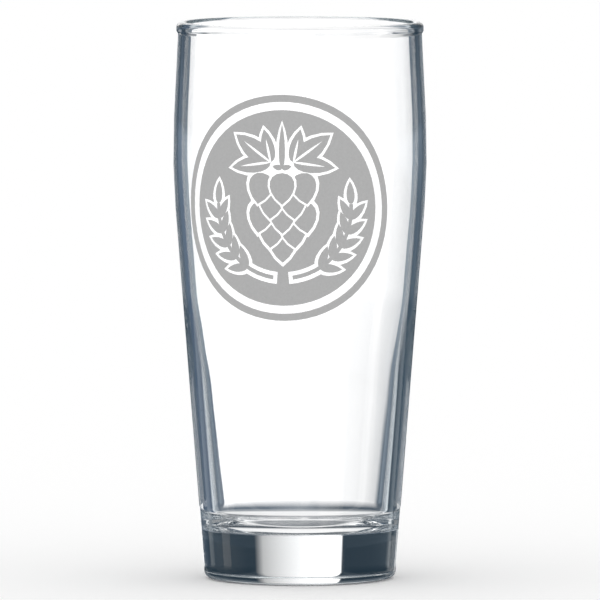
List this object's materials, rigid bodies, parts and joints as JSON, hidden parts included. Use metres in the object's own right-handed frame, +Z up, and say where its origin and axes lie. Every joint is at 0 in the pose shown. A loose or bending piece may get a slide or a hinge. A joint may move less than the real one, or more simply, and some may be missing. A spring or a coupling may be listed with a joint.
{
  "type": "beer glass",
  "caption": "Tall tapered beer glass with a flared belt, beaded rim, thick solid base and a frosted roundel of hops and barley fired on to its front.",
  "frame": {"origin": "middle of the foot, on the surface that the glass stands on", "axes": "+Z up along the glass's axis, -Y out through the middle of the print, +X to the right of someone who faces the print"},
  "size_m": [0.0754, 0.0756, 0.166],
  "materials": {
    "clear_glass": "fire polished, clear with a faint cool tint",
    "frosted_enamel": "matt, fired on"
  },
  "bodies": {
    "root": {"glass_body": "clear_glass", "print_border": "frosted_enamel", "print_field": "frosted_enamel", "print_hop_bract_1": "frosted_enamel", "print_hop_bract_2": "frosted_enamel", "print_hop_bract_3": "frosted_enamel", "print_hop_bract_4": "frosted_enamel", "print_hop_bract_5": "frosted_enamel", "print_hop_bract_6": "frosted_enamel", "print_hop_bract_7": "frosted_enamel", "print_hop_bract_8": "frosted_enamel", "print_hop_bract_9": "frosted_enamel", "print_hop_bract_10": "frosted_enamel", "print_hop_bract_11": "frosted_enamel", "print_hop_stem": "frosted_enamel", "print_hop_leaf_left": "frosted_enamel", "print_hop_leaf_right": "frosted_enamel", "print_barley_ear_left": "frosted_enamel", "print_barley_ear_right": "frosted_enamel"}
  },
  "joints": []
}
